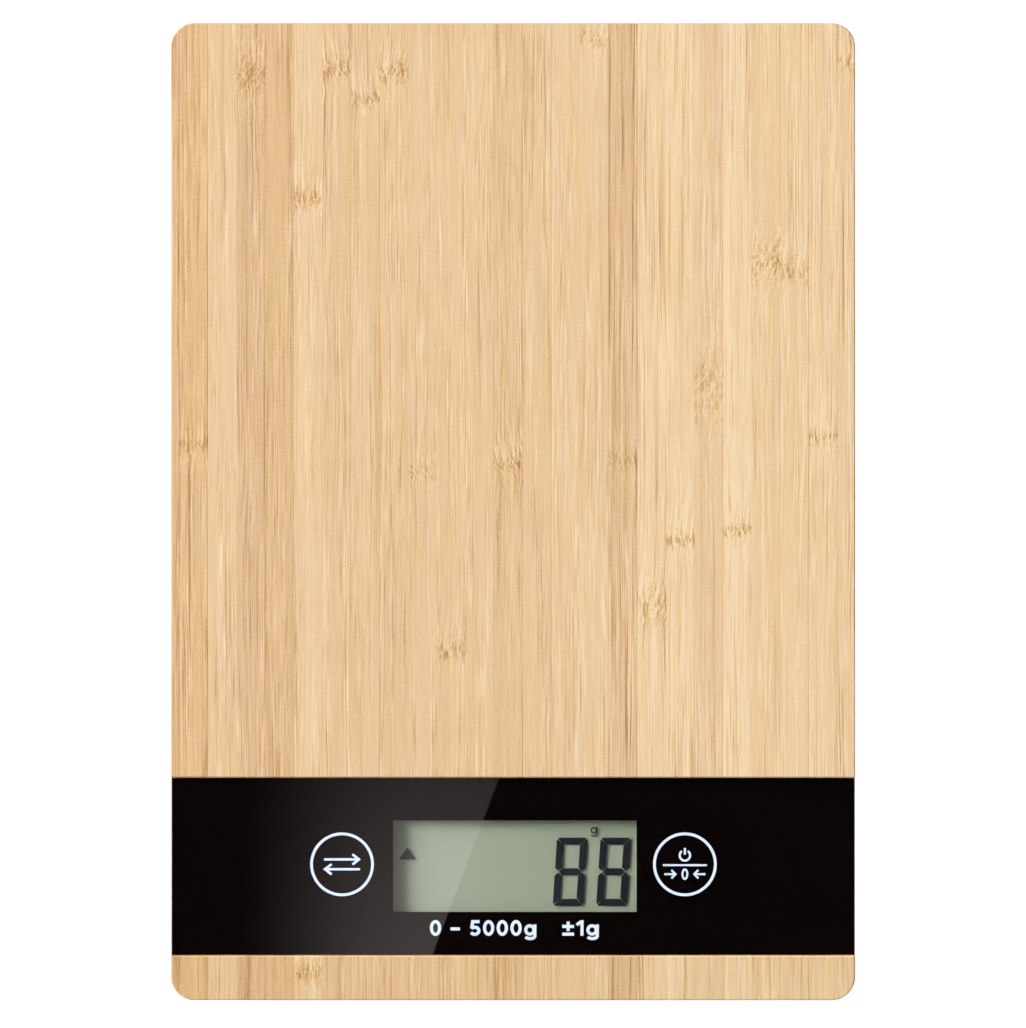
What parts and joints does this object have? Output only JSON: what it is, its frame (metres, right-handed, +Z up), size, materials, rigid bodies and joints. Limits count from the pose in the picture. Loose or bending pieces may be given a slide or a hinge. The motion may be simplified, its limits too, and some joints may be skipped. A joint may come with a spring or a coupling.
{
  "type": "kitchen scale",
  "caption": "Slim digital kitchen scale with a rounded bamboo platform, a flush black display strip across the front, a load cell over each foot and a battery door underneath.",
  "frame": {"origin": "on the surface the scale stands on, under the middle of the platform", "axes": "+Z up, -Y towards the front edge and the display, +X to the user's right"},
  "size_m": [0.16, 0.2284, 0.018],
  "materials": {
    "bamboo": "oiled laminated bamboo, satin",
    "lens": "clear, polished",
    "black_print": "black screen print",
    "black_plastic": "moulded, matt",
    "lcd_glass": "grey-green display",
    "lcd_foil": "matt reflective foil",
    "black_rubber": "matt",
    "circuit_laminate": "green solder resist",
    "capacitor_sleeve": "shrink sleeve",
    "spring_steel": "nickel plated wire",
    "screw_steel": "zinc plated",
    "housing_plastic": "moulded ABS, fine texture",
    "retainer_plastic": "moulded ABS",
    "load_cell_steel": "stamped, satin",
    "gauge_film": "polyimide film",
    "cable_sleeve": "soft PVC",
    "red_sleeve": "soft PVC",
    "black_sleeve": "soft PVC",
    "nickel": "bright nickel"
  },
  "bodies": {
    "scale_body": {"bamboo_platform": "bamboo", "display_lens": "lens", "printed_mask": "black_print", "lcd_frame": "black_plastic", "chip_cover": "black_plastic", "lcd_glass": "lcd_glass", "lcd_polarizer": "lcd_glass", "lcd_reflector": "lcd_foil", "zebra_connector": "black_rubber", "foot_pad_front_left": "black_rubber", "foot_pad_front_right": "black_rubber", "foot_pad_rear_left": "black_rubber", "foot_pad_rear_right": "black_rubber", "circuit_board": "circuit_laminate", "smoothing_capacitor": "capacitor_sleeve", "touch_spring_unit": "spring_steel", "touch_spring_tare": "spring_steel", "circuit_screw_front_left": "screw_steel", "circuit_screw_front_right": "screw_steel", "circuit_screw_rear_left": "screw_steel", "circuit_screw_rear_right": "screw_steel", "housing_screw_front_left": "screw_steel", "housing_screw_front_right": "screw_steel", "housing_screw_rear_left": "screw_steel", "housing_screw_rear_right": "screw_steel", "housing_screw_middle_left": "screw_steel", "housing_screw_middle_right": "screw_steel", "base_housing": "housing_plastic", "foot_holder_front_left": "housing_plastic", "foot_holder_front_right": "housing_plastic", "foot_holder_rear_left": "housing_plastic", "foot_holder_rear_right": "housing_plastic", "sensor_retainer_front_left": "retainer_plastic", "sensor_retainer_front_right": "retainer_plastic", "sensor_retainer_rear_left": "retainer_plastic", "sensor_retainer_rear_right": "retainer_plastic", "load_cell_front_left": "load_cell_steel", "load_cell_front_right": "load_cell_steel", "load_cell_rear_left": "load_cell_steel", "load_cell_rear_right": "load_cell_steel", "strain_gauge_front_left": "gauge_film", "strain_gauge_front_right": "gauge_film", "strain_gauge_rear_left": "gauge_film", "strain_gauge_rear_right": "gauge_film", "sensor_cable_front_left": "cable_sleeve", "sensor_cable_front_right": "cable_sleeve", "sensor_cable_rear_left": "cable_sleeve", "sensor_cable_rear_right": "cable_sleeve", "battery_lead_red": "red_sleeve", "battery_lead_black": "black_sleeve", "coin_cell": "nickel", "battery_contact_negative": "nickel", "battery_contact_positive": "nickel"},
    "battery_door": {"battery_door": "housing_plastic"}
  },
  "joints": [
    {"name": "battery_door_hinge", "type": "hinge", "parent": "scale_body", "child": "battery_door", "pos_m": [0, 0.0703, 0.003], "axis": [1, 0, 0], "range_deg": [0, 75]}
  ]
}
